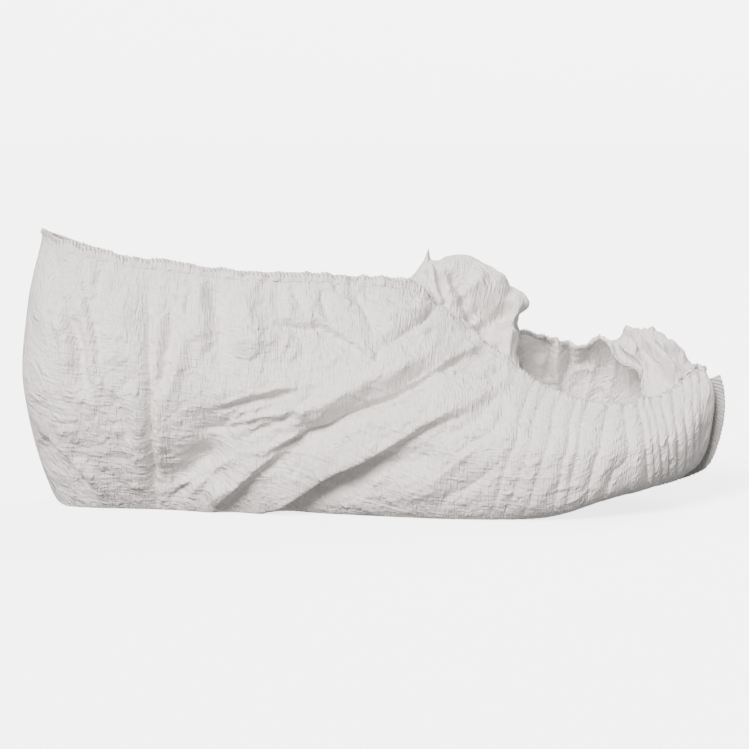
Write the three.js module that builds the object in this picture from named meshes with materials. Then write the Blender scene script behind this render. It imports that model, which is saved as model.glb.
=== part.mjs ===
// A disposable shoe cover of white flash-spun plastic sheet, standing on its sole with its
// mouth open, as it keeps its form when a shoe has been drawn out of it.
//
// Two side panels meet at the heel's back, along the keel under the sole and round the toe.
// An overlocked seam closes that join: it stands out as a fin round the toe and turns flat
// into a shallow channel under the sole. A gathered elastic hem runs all round the mouth.
// The right panel's hem lies taut. The left panel puffs up over the elastic at the instep
// and at the toe, and rolls inwards there until its hem meets the right one.
//
// Millimetres. +X points to the toe, +Y to the wearer's left and +Z up.
import * as THREE from "three";

// Driving sizes.
const LENGTH = 310; // heel's back to the toe seam's edge
const WALL = 1.3; // modelled thickness of the sheet
const GAP = 0.3; // clearance between two pieces that are sewn together
const HEM_GAP = 0.45; // the same between a panel and the hem, which twists along the mouth
const HEM_HEIGHT = 4; // the elastic hem, measured down from the mouth's edge
const HEM_THICKNESS = 1.8;
const SEAM_WIDTH = 5; // the overlocked allowance, from the panels to its edge
const SEAM_THICKNESS = 1.6;
const SEAM_TURN = { from: 104, to: 138 }; // X along which the flat seam rises into the fin
const SEAM_DROP = 0.6; // further clearance below the keel where the seam lies flat
const CHANNEL_DEPTH = 3.4; // lift of the sole along the keel, which houses the seam
const CHANNEL_HALF_WIDTH = 12;
const SLACK = 5; // outward bulge of the side walls above the belly, halved at the ends

// Each line below runs from the heel's back (along 0) to the toe's front (along LENGTH).
// The sole and the belly are given for the left side, and the right side mirrors them.
const KEEL = [
  { along: 0, x: -131, y: 0, z: 1 },
  { along: 20, x: -118, y: 0, z: 0 },
  { along: 90, x: -62, y: 0, z: 0 },
  { along: 180, x: 24, y: 0, z: 0 },
  { along: 235, x: 76, y: 0, z: 0 },
  { along: 262, x: 100, y: 0, z: 6 },
  { along: 285, x: 120, y: 0, z: 11.2 },
  { along: 300, x: 132, y: 0, z: 14.6 },
  { along: 310, x: 139.5, y: 0, z: 17 },
];
const SOLE_EDGE = [
  { along: 0, x: -142.3, y: 0, z: 5 },
  { along: 8, x: -138, y: 11, z: 1.5 },
  { along: 20, x: -128, y: 19, z: 0 },
  { along: 45, x: -106, y: 24, z: 0 },
  { along: 85, x: -67, y: 31, z: 0 },
  { along: 102, x: -51, y: 33, z: 0 },
  { along: 114, x: -39, y: 31, z: 2 },
  { along: 126, x: -28, y: 31, z: 1 },
  { along: 145, x: -10, y: 33.5, z: 0 },
  { along: 180, x: 26, y: 42, z: 0 },
  { along: 210, x: 56, y: 46, z: 0.3 },
  { along: 235, x: 80, y: 44, z: 4 },
  { along: 258, x: 102, y: 38, z: 10.5 },
  { along: 278, x: 121, y: 27, z: 13.5 },
  { along: 295, x: 136, y: 14, z: 16 },
  { along: 310, x: 145.5, y: 0, z: 20.5 },
];
const BELLY = [
  { along: 0, x: -154.3, y: 0, z: 53 },
  { along: 8, x: -151.5, y: 17, z: 52 },
  { along: 20, x: -139, y: 31, z: 50 },
  { along: 45, x: -111, y: 39, z: 48 },
  { along: 90, x: -64, y: 43, z: 46 },
  { along: 140, x: -14, y: 47, z: 42 },
  { along: 180, x: 26, y: 52, z: 37 },
  { along: 210, x: 56, y: 56, z: 33 },
  { along: 235, x: 81, y: 56, z: 30 },
  { along: 258, x: 104, y: 50, z: 29 },
  { along: 278, x: 125, y: 38, z: 31 },
  { along: 295, x: 141, y: 21, z: 34 },
  { along: 310, x: 150.5, y: 0, z: 37 },
];
// The right panel's edge, drawn taut by the elastic from the heel down over the instep.
const RIGHT_EDGE = [
  { along: 0, x: -144.5, y: 0, z: 121.5 },
  { along: 6, x: -140, y: -10, z: 120 },
  { along: 18, x: -131, y: -17, z: 117.5 },
  { along: 40, x: -112, y: -21, z: 113 },
  { along: 65, x: -90, y: -23, z: 109.8 },
  { along: 95, x: -60, y: -24, z: 106 },
  { along: 130, x: -25, y: -22, z: 104.5 },
  { along: 160, x: 5, y: -18, z: 101.8 },
  { along: 176, x: 20, y: -14, z: 98.5 },
  { along: 187, x: 31, y: -12, z: 88.5 },
  { along: 200, x: 44, y: -12, z: 77.5 },
  { along: 213, x: 58, y: -15, z: 67.5 },
  { along: 228, x: 73, y: -20, z: 56 },
  { along: 245, x: 90, y: -24, z: 49 },
  { along: 262, x: 108, y: -22, z: 46.5 },
  { along: 272, x: 117, y: -16, z: 48 },
  { along: 284, x: 128, y: -10, z: 50.5 },
  { along: 298, x: 139, y: -6, z: 57 },
  { along: 310, x: 146, y: 0, z: 61 },
];
// The left panel's highest line. It rises to a lobe at the instep and a puff at the toe.
const LEFT_CREST = [
  { along: 0, x: -146.5, y: 0, z: 114 },
  { along: 18, x: -131, y: 18, z: 108 },
  { along: 40, x: -111, y: 22, z: 101 },
  { along: 95, x: -60, y: 26, z: 92.5 },
  { along: 130, x: -25, y: 25, z: 91 },
  { along: 160, x: 3, y: 20, z: 91.5 },
  { along: 168, x: 13, y: 18.5, z: 94 },
  { along: 173, x: 19, y: 17, z: 102 },
  { along: 178, x: 24, y: 16, z: 109.5 },
  { along: 186, x: 32, y: 16, z: 109.5 },
  { along: 196, x: 42, y: 17, z: 109.5 },
  { along: 205, x: 52, y: 19, z: 105 },
  { along: 213, x: 63, y: 20, z: 97 },
  { along: 219, x: 69, y: 21, z: 88 },
  { along: 223, x: 69, y: 22.5, z: 81 },
  { along: 226, x: 70.5, y: 25, z: 76.5 },
  { along: 231, x: 75, y: 30.5, z: 67.5 },
  { along: 236, x: 80, y: 32, z: 65 },
  { along: 250, x: 96, y: 32, z: 63 },
  { along: 256, x: 101.5, y: 31, z: 66 },
  { along: 260, x: 105.5, y: 28, z: 71 },
  { along: 265, x: 109.5, y: 23.5, z: 75.5 },
  { along: 270, x: 113.5, y: 21, z: 77 },
  { along: 278, x: 120, y: 18, z: 75.5 },
  { along: 286, x: 129, y: 14, z: 75 },
  { along: 292, x: 135, y: 12, z: 70.5 },
  { along: 297, x: 139, y: 10.5, z: 64.5 },
  { along: 302, x: 143.5, y: 8.5, z: 57.5 },
  { along: 310, x: 149.5, y: 0, z: 52 },
];
// The left panel's edge. It crosses to the right one where the panel rolls inwards.
const LEFT_EDGE = [
  { along: 0, x: -144.5, y: 0, z: 121.5 },
  { along: 6, x: -139.5, y: 10, z: 119 },
  { along: 18, x: -130, y: 16, z: 115 },
  { along: 40, x: -110, y: 20, z: 108 },
  { along: 95, x: -60, y: 23, z: 99.5 },
  { along: 130, x: -25, y: 22, z: 98 },
  { along: 160, x: 3, y: 17, z: 97.5 },
  { along: 168, x: 12, y: 12, z: 98.5 },
  { along: 173, x: 18, y: 4.5, z: 96 },
  { along: 178, x: 24, y: -2, z: 90 },
  { along: 188, x: 33, y: -5, z: 81.5 },
  { along: 200, x: 45, y: -5.5, z: 71.5 },
  { along: 210, x: 56, y: -7, z: 62.5 },
  { along: 217, x: 63, y: -5, z: 59.5 },
  { along: 221, x: 65.5, y: 4, z: 63 },
  { along: 225, x: 67.5, y: 12, z: 69.5 },
  { along: 230, x: 72, y: 21, z: 74.5 },
  { along: 235, x: 79, y: 26.5, z: 73.5 },
  { along: 242, x: 87, y: 28, z: 71 },
  { along: 251, x: 97, y: 26.5, z: 70 },
  { along: 256, x: 101, y: 22, z: 73 },
  { along: 260, x: 104.5, y: 16, z: 70 },
  { along: 265, x: 109, y: 7, z: 59.5 },
  { along: 270, x: 113.5, y: -1, z: 49.5 },
  { along: 277, x: 119, y: -5, z: 44.5 },
  { along: 286, x: 128, y: -3, z: 46 },
  { along: 292, x: 133.5, y: 0, z: 50.5 },
  { along: 297, x: 137.5, y: 2.5, z: 56.5 },
  { along: 302, x: 141, y: 2.5, z: 61 },
  { along: 310, x: 146, y: 0, z: 61 },
];

// Folds in the walls, each a straight or bowed ridge (rise above 0) or valley (rise below 0)
// seen from the side. The bow is how far its middle lies above the straight line.
// The long diagonals run from the heel's sole up to the elastic at the instep.
const RIGHT_FOLDS = [
  { fromX: -45, fromZ: 2, toX: 68, toZ: 60, bow: 0, width: 6, rise: -5 },
  { fromX: -60, fromZ: 6, toX: 58, toZ: 70, bow: 1, width: 8, rise: 5 },
  { fromX: -70, fromZ: 4, toX: 38, toZ: 68, bow: 6, width: 6, rise: -4 },
  { fromX: -82, fromZ: 6, toX: 20, toZ: 68, bow: 9, width: 6, rise: 2.5 },
  { fromX: -45, fromZ: 32, toX: 44, toZ: 82, bow: 4, width: 5.5, rise: -3 },
  { fromX: -73, fromZ: 47, toX: -28, toZ: 56, bow: 2, width: 5, rise: -4 },
  { fromX: -76, fromZ: 58, toX: -26, toZ: 67, bow: 2, width: 7, rise: 2.5 },
  { fromX: -95, fromZ: 4, toX: -72, toZ: 44, bow: 0, width: 7, rise: -3 },
  { fromX: -101, fromZ: 4, toX: -101, toZ: 88, bow: 0, width: 6, rise: -2 },
  { fromX: -128, fromZ: 96, toX: -112, toZ: 26, bow: 3, width: 6, rise: -2 },
  { fromX: -42, fromZ: 84, toX: -8, toZ: 82, bow: 0, width: 6, rise: -2.5 },
  { fromX: -1, fromZ: 76, toX: 26, toZ: 94, bow: 0, width: 6, rise: -3 },
];
const LEFT_FOLDS = [
  { fromX: -38, fromZ: 4, toX: 58, toZ: 58, bow: 2, width: 8, rise: -4 },
  { fromX: -54, fromZ: 8, toX: 40, toZ: 70, bow: 3, width: 9, rise: 4 },
  { fromX: -76, fromZ: 6, toX: 8, toZ: 72, bow: 6, width: 8, rise: -3.5 },
  { fromX: -118, fromZ: 14, toX: -110, toZ: 84, bow: 0, width: 8, rise: -2.5 },
];
// Gathers fan down from the elastic round the toe, the same on both sides.
const TOE_GATHERS = [
  { fromX: 58, fromZ: 20, toX: 73, toZ: 48 },
  { fromX: 66, fromZ: 12, toX: 81, toZ: 48 },
  { fromX: 76, fromZ: 9, toX: 90, toZ: 46 },
  { fromX: 86, fromZ: 12, toX: 98, toZ: 45 },
  { fromX: 95, fromZ: 13, toX: 107, toZ: 45 },
  { fromX: 105, fromZ: 16, toX: 114, toZ: 46 },
  { fromX: 115, fromZ: 18, toX: 121, toZ: 47 },
  { fromX: 124, fromZ: 19, toX: 126, toZ: 48 },
  { fromX: 132, fromZ: 21, toX: 132, toZ: 50 },
  { fromX: 140, fromZ: 24, toX: 138, toZ: 53 },
];
const GATHER = { bow: 0, width: 3, rise: -1.8 };

// Panel grids: columns run round the foot, closest together where a panel is most folded.
const COLUMN_RUNS = {
  right: [
    { from: 0, to: 20, count: 4 },
    { from: 20, to: 160, count: 23 },
    { from: 160, to: 235, count: 16 },
    { from: 235, to: LENGTH, count: 24 },
  ],
  left: [
    { from: 0, to: 20, count: 3 },
    { from: 20, to: 160, count: 8 },
    { from: 160, to: 180, count: 9 },
    { from: 180, to: 215, count: 6 },
    { from: 215, to: 235, count: 10 },
    { from: 235, to: 250, count: 3 },
    { from: 250, to: 275, count: 9 },
    { from: 275, to: LENGTH, count: 12 },
  ],
};
const SOLE_SHARES = [0, 0.08, 0.2, 0.42, 1]; // across the sole, from the keel to its edge
const WALL_ROWS = 15; // from the sole's edge to the hem
const ROLL_ROWS = 5; // of these, on the left side, from its crest to the hem

const WHITE = new THREE.Color(0.86, 0.85, 0.84);

// ---- Curves through the tables ----

// A row's slope: central inside a table, one-sided at its ends, and square to the centre
// plane where an end lies on it.
function slope(rows, i, axis) {
  const before = rows[Math.max(i - 1, 0)];
  const after = rows[Math.min(i + 1, rows.length - 1)];
  const isEnd = i === 0 || i === rows.length - 1;
  if (isEnd && rows[i].y === 0 && axis !== "y") return 0;
  return (after[axis] - before[axis]) / (after.along - before.along);
}

// The point at a distance along a table, on cubics through its rows.
function pointOn(rows, along) {
  let i = 0;
  while (i < rows.length - 2 && along > rows[i + 1].along) i++;
  const [from, to] = [rows[i], rows[i + 1]];
  const span = to.along - from.along;
  const f = (along - from.along) / span;
  const value = (axis) =>
    (1 + 2 * f) * (1 - f) ** 2 * from[axis] +
    f * (1 - f) ** 2 * span * slope(rows, i, axis) +
    f * f * (3 - 2 * f) * to[axis] +
    f * f * (f - 1) * span * slope(rows, i + 1, axis);
  return new THREE.Vector3(value("x"), value("y"), value("z"));
}

// The same points as a table of their own, its rows placed by the distance between them.
function tableThrough(points) {
  let along = 0;
  return points.map((p, i) => {
    if (i > 0) along += p.distanceTo(points[i - 1]);
    return { along, x: p.x, y: p.y, z: p.z };
  });
}

// ---- Sections ----

const mirrored = (p) => new THREE.Vector3(p.x, -p.y, p.z);

// The points that one side's section passes through, from the keel up to the mouth's edge.
// The first and the last section lie in the centre plane and are the same for both sides.
function sectionPoints(side, along) {
  const keel = pointOn(KEEL, along);
  let sole = pointOn(SOLE_EDGE, along);
  let belly = pointOn(BELLY, along);
  if (side === "right") [sole, belly] = [mirrored(sole), mirrored(belly)];
  const isJoin = along === 0 || along === LENGTH;
  const top =
    side === "right" && !isJoin
      ? [pointOn(RIGHT_EDGE, along)]
      : [pointOn(LEFT_CREST, along), pointOn(LEFT_EDGE, along)];
  const outwards = new THREE.Vector3(belly.x - keel.x, belly.y, 0).normalize();
  const slack = SLACK * (0.5 + 0.5 * Math.abs(outwards.y));
  const shoulder = belly.clone().lerp(top[0], 0.6).addScaledVector(outwards, slack);
  return [keel, sole, belly, shoulder, ...top];
}

// Evenly spaced distances after the first one, up to the last one.
function stepsBetween(from, to, count) {
  return Array.from({ length: count }, (_, k) => from + ((to - from) * (k + 1)) / count);
}

// One section as a column of points: across the sole by its shares, then up the wall and
// stopping short of the hem, whose top edge comes with it. The left wall keeps one row on
// its crest, so that the fold there stays sharp.
function section(side, along) {
  const rows = tableThrough(sectionPoints(side, along));
  const soleEnd = rows[1].along;
  const edge = rows[rows.length - 1].along;
  const wallEnd = edge - HEM_HEIGHT - HEM_GAP;
  const crest = rows[4].along;
  const wallSteps =
    side === "right"
      ? stepsBetween(soleEnd, wallEnd, WALL_ROWS)
      : [
          ...stepsBetween(soleEnd, crest, WALL_ROWS - ROLL_ROWS),
          ...stepsBetween(crest, wallEnd, ROLL_ROWS),
        ];
  const steps = [...SOLE_SHARES.map((share) => share * soleEnd), ...wallSteps];
  return {
    points: steps.map((s) => pointOn(rows, s)),
    mouth: pointOn(rows, edge),
  };
}

// Where a side's columns stand.
function columnsOf(side) {
  const starts = COLUMN_RUNS[side].flatMap(({ from, to, count }) =>
    Array.from({ length: count }, (_, k) => from + ((to - from) * k) / count),
  );
  return [...starts, LENGTH];
}

// ---- Folds ----

// A fold's height at a place on the wall. It fades out over its last quarter at each end.
function foldHeight({ fromX, fromZ, toX, toZ, bow, width, rise }, x, z) {
  const [dx, dz] = [toX - fromX, toZ - fromZ];
  const length = Math.hypot(dx, dz);
  const share = ((x - fromX) * dx + (z - fromZ) * dz) / length ** 2;
  const held = THREE.MathUtils.clamp(share, 0, 1);
  const past = (share - held) * length;
  const across = ((z - fromZ) * dx - (x - fromX) * dz) / length - bow * 4 * held * (1 - held);
  const fade = THREE.MathUtils.smoothstep(Math.min(held, 1 - held), -0.05, 0.25);
  return rise * fade * Math.exp(-(across ** 2 + past ** 2) / width ** 2);
}

const foldsOf = {
  right: [...RIGHT_FOLDS, ...TOE_GATHERS.map((row) => ({ ...row, ...GATHER }))],
  left: [...LEFT_FOLDS, ...TOE_GATHERS.map((row) => ({ ...row, ...GATHER }))],
};

// ---- Panels ----

// The outward normal at each point of a grid, from its neighbours.
function gridNormals(grid, sign) {
  const [lastC, lastR] = [grid.length - 1, grid[0].length - 1];
  return grid.map((column, c) =>
    column.map((_, r) => {
      const round = grid[Math.min(c + 1, lastC)][r].clone().sub(grid[Math.max(c - 1, 0)][r]);
      const up = column[Math.min(r + 1, lastR)].clone().sub(column[Math.max(r - 1, 0)]);
      return round.cross(up).multiplyScalar(sign).normalize();
    }),
  );
}

// The height of the sole's outer face, which lies on the ground but for the keel's channel.
function floorAt(p) {
  const across = Math.min(Math.abs(p.y) / CHANNEL_HALF_WIDTH, 1);
  return Math.max(p.z, CHANNEL_DEPTH * (0.5 + 0.5 * Math.cos(Math.PI * across)));
}

// Lays a grid's joining edges on their own side of the centre plane, half a gap away from it.
function trimToJoin(grid, side) {
  const y = (side === "right" ? -1 : 1) * (GAP / 2);
  const last = grid.length - 1;
  grid.forEach((column, c) =>
    column.forEach((p, r) => {
      if (c === 0 || c === last || r === 0) p.y = y;
    }),
  );
}

// A panel's outer face, folded, with its sole flattened.
function outerFace(side) {
  const sign = side === "right" ? 1 : -1;
  const grid = columnsOf(side).map((along) => section(side, along).points);
  const normals = gridNormals(grid, sign);
  const lastC = grid.length - 1;
  const hemStart = grid[0].length - 1;
  grid.forEach((column, c) =>
    column.forEach((p, r) => {
      const nearJoin = Math.min(c, lastC - c) / 3;
      const nearHem = (hemStart - r) / 2;
      const held = Math.min(nearJoin, nearHem, 1);
      const isWall = r >= SOLE_SHARES.length - 1;
      const folded = isWall ? foldsOf[side].reduce((sum, f) => sum + foldHeight(f, p.x, p.z), 0) : 0;
      p.addScaledVector(normals[c][r], folded * held);
    }),
  );
  trimToJoin(grid, side);
  grid.flat().forEach((p) => (p.z = floorAt(p)));
  return grid;
}

// The inner face lies a wall's thickness inside the outer one.
function innerFace(outer, side) {
  const sign = side === "right" ? 1 : -1;
  const normals = gridNormals(outer, sign);
  const grid = outer.map((column, c) =>
    column.map((p, r) => p.clone().addScaledVector(normals[c][r], -WALL)),
  );
  trimToJoin(grid, side);
  return grid;
}

// A closed solid between two grids of points of the same size.
function shellBetween(outer, inner, sign) {
  const [columnCount, rowCount] = [outer.length, outer[0].length];
  const positions = [...outer.flat(), ...inner.flat()].flatMap((p) => [p.x, p.y, p.z]);
  const innerStart = columnCount * rowCount;
  const at = (c, r) => c * rowCount + r;
  const triangles = [];
  const quad = (a, b, c, d) => {
    const corners = sign > 0 ? [a, b, c, a, c, d] : [a, c, b, a, d, c];
    triangles.push(...corners);
  };
  for (let c = 0; c < columnCount - 1; c++) {
    for (let r = 0; r < rowCount - 1; r++) {
      const [a, b, d, e] = [at(c, r), at(c + 1, r), at(c + 1, r + 1), at(c, r + 1)];
      quad(a, b, d, e);
      quad(innerStart + a, innerStart + e, innerStart + d, innerStart + b);
    }
  }
  const border = [
    ...Array.from({ length: columnCount - 1 }, (_, c) => at(c, 0)),
    ...Array.from({ length: rowCount - 1 }, (_, r) => at(columnCount - 1, r)),
    ...Array.from({ length: columnCount - 1 }, (_, c) => at(columnCount - 1 - c, rowCount - 1)),
    ...Array.from({ length: rowCount - 1 }, (_, r) => at(0, rowCount - 1 - r)),
  ];
  border.forEach((a, i) => {
    const b = border[(i + 1) % border.length];
    quad(a, innerStart + a, innerStart + b, b);
  });
  const geometry = new THREE.BufferGeometry();
  geometry.setAttribute("position", new THREE.Float32BufferAttribute(positions, 3));
  geometry.setIndex(triangles);
  return geometry;
}

function panel(faces, side) {
  const outer = faces[side];
  return shellBetween(outer, innerFace(outer, side), side === "right" ? 1 : -1);
}

// ---- Strips: the hem and the seam ----

// A closed solid along a row of four-cornered sections, open-ended or joined into a loop.
function stripThrough(sections, isLoop) {
  const count = sections.length;
  const positions = sections.flat().flatMap((p) => [p.x, p.y, p.z]);
  const triangles = [];
  const quad = (a, b, c, d) => triangles.push(a, b, c, a, c, d);
  for (let i = 0; i < (isLoop ? count : count - 1); i++) {
    const [here, next] = [4 * i, 4 * ((i + 1) % count)];
    for (let k = 0; k < 4; k++) {
      const m = (k + 1) % 4;
      quad(here + k, here + m, next + m, next + k);
    }
  }
  if (!isLoop) {
    const end = 4 * (count - 1);
    quad(3, 2, 1, 0);
    quad(end, end + 1, end + 2, end + 3);
  }
  const geometry = new THREE.BufferGeometry();
  geometry.setAttribute("position", new THREE.Float32BufferAttribute(positions, 3));
  geometry.setIndex(triangles);
  return geometry;
}

// The elastic hem continues the panels' last rows, a gap above them: along the right side
// from heel to toe, then back along the left one.
function elasticHem(faces) {
  const stops = ["right", "left"].map((side) => {
    const grid = faces[side];
    const normals = gridNormals(grid, side === "right" ? 1 : -1);
    const last = grid[0].length - 1;
    return columnsOf(side).map((along, c) => ({
      wall: grid[c][last].clone().addScaledVector(normals[c][last], -WALL / 2),
      normal: normals[c][last],
      mouth: section(side, along).mouth,
    }));
  });
  const loop = [...stops[0], ...stops[1].slice(1, -1).reverse()];
  const sections = loop.map(({ wall, normal, mouth }, i) => {
    const before = loop[(i + loop.length - 1) % loop.length].wall;
    const after = loop[(i + 1) % loop.length].wall;
    const offWall = normal.clone().cross(after.clone().sub(before)).normalize();
    const foot = wall.clone().addScaledVector(offWall, HEM_GAP);
    const out = normal.clone().multiplyScalar(HEM_THICKNESS / 2);
    return [
      foot.clone().add(out),
      foot.clone().sub(out),
      mouth.clone().sub(out),
      mouth.clone().add(out),
    ];
  });
  return stripThrough(sections, true);
}

// The seam runs down the toe's front and back along the keel, in the centre plane. It
// stands square to the panels as a fin round the toe, and lies flat under the sole.
// The panels' joining edge that the seam follows, from the toe's front back to the heel.
function seamLine(grid) {
  const front = grid[grid.length - 1].slice(0, -1).reverse(); // short of the hem
  const keel = grid.slice(1, -1).map((column) => column[0]).reverse();
  return [...front, ...keel].map((p) => p.clone().setY(0));
}

function toeSeam(grid) {
  const line = seamLine(grid);
  const [w, t] = [SEAM_WIDTH / 2, SEAM_THICKNESS / 2];
  const sections = line.map((p, i) => {
    const ahead = line[Math.min(i + 1, line.length - 1)];
    const travel = ahead.clone().sub(line[Math.max(i - 1, 0)]).normalize();
    const out = new THREE.Vector3(-travel.z, 0, travel.x); // away from the foot
    const upright = THREE.MathUtils.smoothstep(p.x, SEAM_TURN.from, SEAM_TURN.to);
    const lean = (Math.PI / 2) * (1 - upright);
    const [cos, sin] = [Math.cos(lean), Math.sin(lean)];
    const middle = p.clone().addScaledVector(out, w * cos + t * sin + GAP + SEAM_DROP * sin);
    const corner = (a, b) =>
      middle
        .clone()
        .addScaledVector(out, a * w * cos + b * t * sin)
        .setY(b * t * cos - a * w * sin);
    return [corner(-1, -1), corner(-1, 1), corner(1, 1), corner(1, -1)];
  });
  return stripThrough(sections, false);
}

// ---- The cover ----

function sheetMaterial(roughness) {
  return new THREE.MeshStandardMaterial({ color: WHITE, roughness, metalness: 0 });
}

function piece(name, geometry, material) {
  const mesh = new THREE.Mesh(geometry, material);
  mesh.name = name;
  return mesh;
}

const faces = { right: outerFace("right"), left: outerFace("left") };
const cover = new THREE.Group();
cover.add(
  piece("right_panel", panel(faces, "right"), sheetMaterial(0.55)),
  piece("left_panel", panel(faces, "left"), sheetMaterial(0.55)),
  piece("elastic_hem", elasticHem(faces), sheetMaterial(0.8)),
  piece("toe_seam", toeSeam(faces.right), sheetMaterial(0.8)),
);

// The origin is on the ground, under the middle of the cover's box.
const box = new THREE.Box3().setFromObject(cover);
const middle = box.getCenter(new THREE.Vector3());
cover.children.forEach((mesh) => mesh.position.set(-middle.x, -middle.y, -box.min.z));

export default cover;
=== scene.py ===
"""The looks of a disposable shoe cover of white flash-spun plastic sheet, standing empty.

The two panels are drawn through much the same lines as the CAD's, then folded, gathered and
creased. The hem and the toe seam are built along the panels' edges, with their thread.
The tables are in millimetres: +X points to the toe, +Y to the wearer's left and +Z up.
"""

import math

import bpy
import numpy as np
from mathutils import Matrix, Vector

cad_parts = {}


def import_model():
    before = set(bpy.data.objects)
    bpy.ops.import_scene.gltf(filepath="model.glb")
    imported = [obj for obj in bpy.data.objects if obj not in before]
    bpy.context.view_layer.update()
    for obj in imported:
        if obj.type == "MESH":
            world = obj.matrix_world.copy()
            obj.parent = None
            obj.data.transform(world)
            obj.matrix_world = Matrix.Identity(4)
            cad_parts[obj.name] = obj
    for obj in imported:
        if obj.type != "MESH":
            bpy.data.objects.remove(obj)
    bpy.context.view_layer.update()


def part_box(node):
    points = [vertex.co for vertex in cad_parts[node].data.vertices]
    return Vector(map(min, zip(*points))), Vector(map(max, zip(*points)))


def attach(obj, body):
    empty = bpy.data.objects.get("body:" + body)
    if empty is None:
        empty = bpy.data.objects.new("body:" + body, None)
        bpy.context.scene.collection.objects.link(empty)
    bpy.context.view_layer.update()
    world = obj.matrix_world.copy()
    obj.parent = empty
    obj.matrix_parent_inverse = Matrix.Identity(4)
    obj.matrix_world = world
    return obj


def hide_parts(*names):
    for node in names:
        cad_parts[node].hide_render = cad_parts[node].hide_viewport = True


# ---- Driving sizes, in millimetres ----

# The panels. The slack is how far a wall stands out at its shoulder, which lies at a share of
# the way from the belly to the top. The channel lies under the sole, along the keel.
LENGTH = 310.0
SLACK = 5.0
SHOULDER_SHARE = 0.6
CHANNEL_DEPTH = 3.4
CHANNEL_HALF_WIDTH = 12.0
GROUND_GAP = 0.2

# The hem. It grows from a share of its thickness at its foot, and its ragged edge starts at a
# share of the way up. The bite is how far its thread reaches down from the edge.
HEM_HEIGHT = 4.6
HEM_THICKNESS = 2.0
HEM_FOOT_SHARE = 0.12
HEM_GROWTH = 1.4
HEM_EDGE_STARTS = (0.45, 1.0)
HEM_PITCH = 1.7
HEM_BITE = 1.7
HEM_THREAD = 0.4
HEM_THREAD_SINK = 0.05

# The hem's puckers: how much they raise its edge, and by what share they swell its thickness.
PUCKER_PITCH = 2.6
PUCKER_RISE = 0.35
PUCKER_SWELL = 0.3
PUCKER_SIZE = 0.7
PUCKER_MEAN = 0.4

# The toe seam. It turns flat under the sole between two places along X, and drops there. Its
# thread lies out from its faces, slants along it and reaches a share of its width each way.
SEAM_WIDTH = 5.0
SEAM_THICKNESS = 1.0
SEAM_TURN = (104.0, 138.0)
SEAM_DROP = 0.6
SEAM_STANDOFF = 0.1
SEAM_PITCH = 1.5
SEAM_THREAD = 0.42
SEAM_THREAD_OUT = 0.25
SEAM_THREAD_SLANT = 1.2
SEAM_THREAD_REACH = 0.53

# The ripples of the seam's layers, and the share by which its width varies.
# rise, radians a millimetre
FIN_RIPPLE = (0.15, 2.1)
FIN_WIDTH_RIPPLE = (0.06, 3.2)

# How finely the meshes are divided. The left panel's crest lies at its roll row, and a
# panel's flat coordinates take their length from its belly row.
COLUMNS = 440
DENSITY_STEPS = 2000
SOLE_ROWS = 26
WALL_ROWS = 170
HEM_ROWS = 8
ROLL_ROW = 146
BELLY_ROW = SOLE_ROWS + 50
SEAM_TOP_ROWS = HEM_ROWS + 11
SEAM_BACK_COLUMN = 12
HEM_STEPS = 2400
SEAM_STEPS = 1100
HEM_SIDES = 14
SEAM_SIDES = 12
THREAD_SIDES = 5
HEM_LAP_STEPS = 12
SEAM_LAP_STEPS = 14
RING_LENGTH = 10.0

# How square the hem's and the seam's outlines are: 1 is round and 0 a rectangle.
CORNER_POWER = 0.6

# A direction that no thread runs along.
ASKEW = (0.31, 0.23, 0.92)

# The left wall's folds are the right wall's, nearer the heel and weaker.
LEFT_SHIFT = 11.0
LEFT_SHARE = 0.7

# ---- The lines of the panels ----

# How close together a panel's columns lie.
# along, density
DENSITIES = [
    (0, 1.5),
    (20, 0.9),
    (160, 1.15),
    (235, 1.6),
    (LENGTH, 1.7),
]

# The left belly is drawn in beside the mouth.
# along, breadth, depth
LEFT_DENT = (238, 20, 8)

# Each line runs from the heel's back (along 0) to the toe's front (along LENGTH).
# The sole's edge and the belly are the left side's, and the right side mirrors them. The
# edges are the hem's top, and the crest is where the left panel starts to roll inwards.
# along, x, y, z
KEEL = [
    (0, -131, 0, 1),
    (20, -118, 0, 0),
    (90, -62, 0, 0),
    (180, 24, 0, 0),
    (235, 76, 0, 0),
    (262, 100, 0, 6),
    (285, 120, 0, 11.2),
    (300, 132, 0, 14.6),
    (310, 139.5, 0, 17),
]
SOLE_EDGE = [
    (0, -142.3, 0, 5),
    (8, -138, 8, 1.5),
    (20, -128, 13, 0),
    (45, -106, 17, 0),
    (85, -67, 26, 0),
    (102, -51, 30, 0),
    (114, -39, 31, 2),
    (126, -28, 31, 1),
    (145, -10, 33.5, 0),
    (180, 26, 42, 0),
    (210, 56, 46, 0.3),
    (235, 80, 48.5, 4),
    (258, 102, 44, 10),
    (278, 122, 32.5, 13),
    (295, 137.5, 17.5, 15.5),
    (310, 145.5, 0, 20.5),
]
BELLY = [
    (0, -154.3, 0, 53),
    (8, -151.5, 17, 52),
    (20, -139, 31, 50),
    (45, -111, 39, 48),
    (90, -64, 43, 46),
    (140, -14, 47, 42),
    (180, 26, 52, 37),
    (210, 56, 56, 33),
    (235, 81, 56, 30),
    (258, 104, 50, 29),
    (278, 125, 38, 31),
    (295, 141, 21, 34),
    (310, 150.5, 0, 37),
]
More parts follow.
